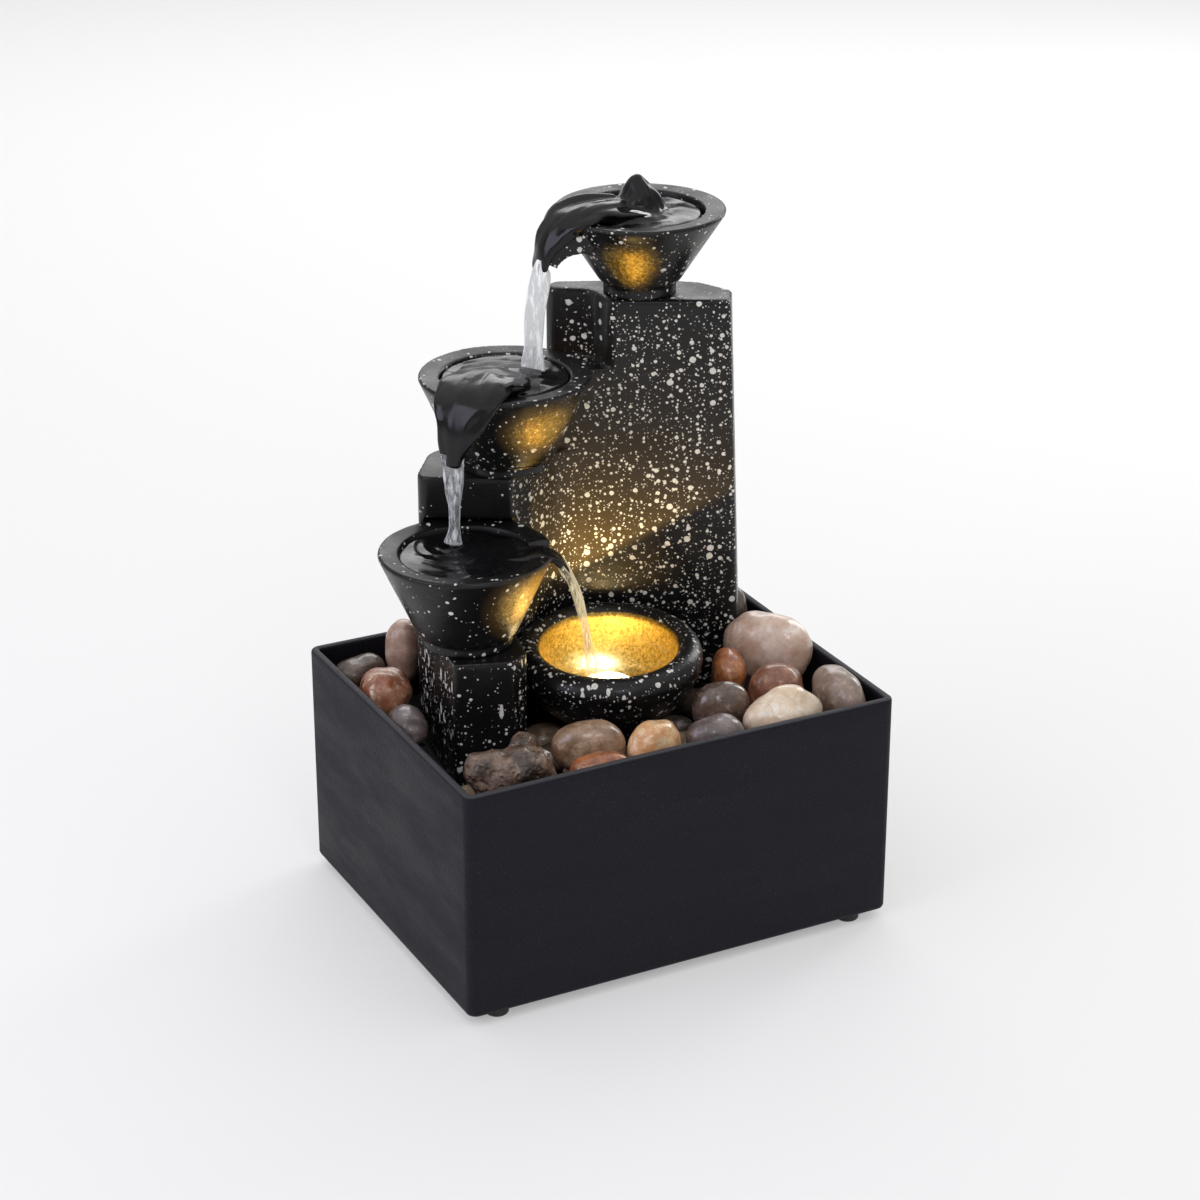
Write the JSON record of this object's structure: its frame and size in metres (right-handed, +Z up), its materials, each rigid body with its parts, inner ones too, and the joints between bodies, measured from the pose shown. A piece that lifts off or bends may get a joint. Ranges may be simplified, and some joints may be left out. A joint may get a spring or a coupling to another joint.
{
  "type": "tabletop water fountain",
  "caption": "Indoor tabletop fountain: a black basin of pebbles, a stepped speckled tower, cascading bowls and a lit gold bowl, with a hidden submersible pump.",
  "frame": {"origin": "centre of the footprint, on the surface that the feet stand on", "axes": "+Z up, +X along the basin's long front wall to its right, +Y towards the back wall"},
  "size_m": [0.18, 0.146, 0.265],
  "materials": {
    "basin_plastic": "charcoal, finely textured moulded plastic",
    "foot_rubber": "black soft rubber",
    "tray_plastic": "black moulded plastic",
    "resin": "glossy black cast resin with cream paint speckles",
    "resin_gilt": "glossy black cast resin with a few speckles and a patch of gold leaf",
    "resin_lit": "glossy black cast resin outside, gold leaf inside",
    "tube_vinyl": "clear soft vinyl tube",
    "silicone": "translucent silicone",
    "led_plastic": "black sealed light housing",
    "board": "white circuit board with three warm light chips",
    "lens": "clear moulded cap",
    "lead_vinyl": "thin black two-core lead",
    "pump_plastic": "black moulded plastic",
    "potting": "black sealing compound",
    "steel": "laminated steel",
    "copper": "enamelled copper windings",
    "shaft_ceramic": "white polished ceramic",
    "ferrite": "dark grey ferrite magnet",
    "impeller_plastic": "white moulded plastic",
    "slider_plastic": "dark grey moulded plastic",
    "stone_dark": "rough dark brown rock",
    "stone_tan": "polished tan river pebble",
    "stone_orange": "polished orange-brown pebble",
    "stone_cream": "polished cream pebble with tan veins",
    "stone_mauve": "grey-mauve pebble",
    "stone_white": "polished off-white pebble",
    "stone_grey": "grey-tan pebble",
    "stone_brown": "shiny brown-grey pebble",
    "stone_red": "red-brown pebble",
    "stone_light_fill": "flat tan pebbles",
    "stone_dark_fill": "flat dark pebbles"
  },
  "bodies": {
    "base": {"basin": "basin_plastic", "feet": "foot_rubber", "pump_housing": "pump_plastic", "suction_cups": "foot_rubber", "pump_back_plate": "potting", "cable_gland": "foot_rubber", "stator_core": "steel", "stator_coils": "copper", "led_socket": "pump_plastic", "outlet_nozzle": "pump_plastic", "rotor_shaft": "shaft_ceramic", "rear_bush": "foot_rubber"},
    "tray": {"pebble_tray": "tray_plastic", "pebble_rough_rock": "stone_dark", "pebble_rough_chip": "stone_dark", "pebble_tan_polished": "stone_tan", "pebble_orange": "stone_orange", "pebble_cream": "stone_cream", "pebble_mauve": "stone_mauve", "pebble_white_oblong": "stone_white", "pebble_corner_grey": "stone_grey", "pebble_shiny_brown": "stone_brown", "pebble_orange_brown": "stone_orange", "pebble_red_brown": "stone_red", "pebble_large_white": "stone_white", "pebble_back_dark": "stone_dark", "pebble_left_red": "stone_red", "pebble_left_flat": "stone_mauve", "pebble_left_tan": "stone_tan", "pebble_rear_grey": "stone_grey", "pebble_rear_tan": "stone_tan", "pebble_front_small": "stone_brown", "pebble_left_small": "stone_brown", "pebbles_fill_light": "stone_light_fill", "pebbles_fill_dark": "stone_dark_fill"},
    "tower": {"tower_body": "resin", "bowl_top": "resin_gilt", "bowl_second": "resin_gilt", "bowl_third": "resin_gilt", "bowl_lit": "resin_lit", "riser_tube": "tube_vinyl", "tube_grommet": "silicone", "led_housing": "led_plastic", "led_seal": "silicone", "led_board": "board", "led_lens": "lens", "led_gland": "foot_rubber", "led_lead": "lead_vinyl", "led_plug": "lead_vinyl"},
    "rotor": {"rotor_magnet": "ferrite", "impeller": "impeller_plastic"},
    "intake_cover": {"pump_cover": "pump_plastic", "front_bush": "foot_rubber"},
    "flow_regulator": {"flow_slider": "slider_plastic"}
  },
  "joints": [
    {"name": "tray_lift", "type": "slide", "parent": "base", "child": "tray", "axis": [0, 0, 1], "range_m": [0, 0.07]},
    {"name": "tower_lift", "type": "slide", "parent": "tray", "child": "tower", "axis": [0, 0, 1], "range_m": [0, 0.06]},
    {"name": "rotor_spin", "type": "hinge", "parent": "base", "child": "rotor", "pos_m": [0.0438, 0.03997, 0.025], "axis": [1, 0, 0], "continuous": true},
    {"name": "cover_pull", "type": "slide", "parent": "base", "child": "intake_cover", "axis": [1, 0, 0], "range_m": [0, 0.012]},
    {"name": "flow_slide", "type": "slide", "parent": "intake_cover", "child": "flow_regulator", "axis": [0, 1, 0], "range_m": [0, 0.008]}
  ]
}
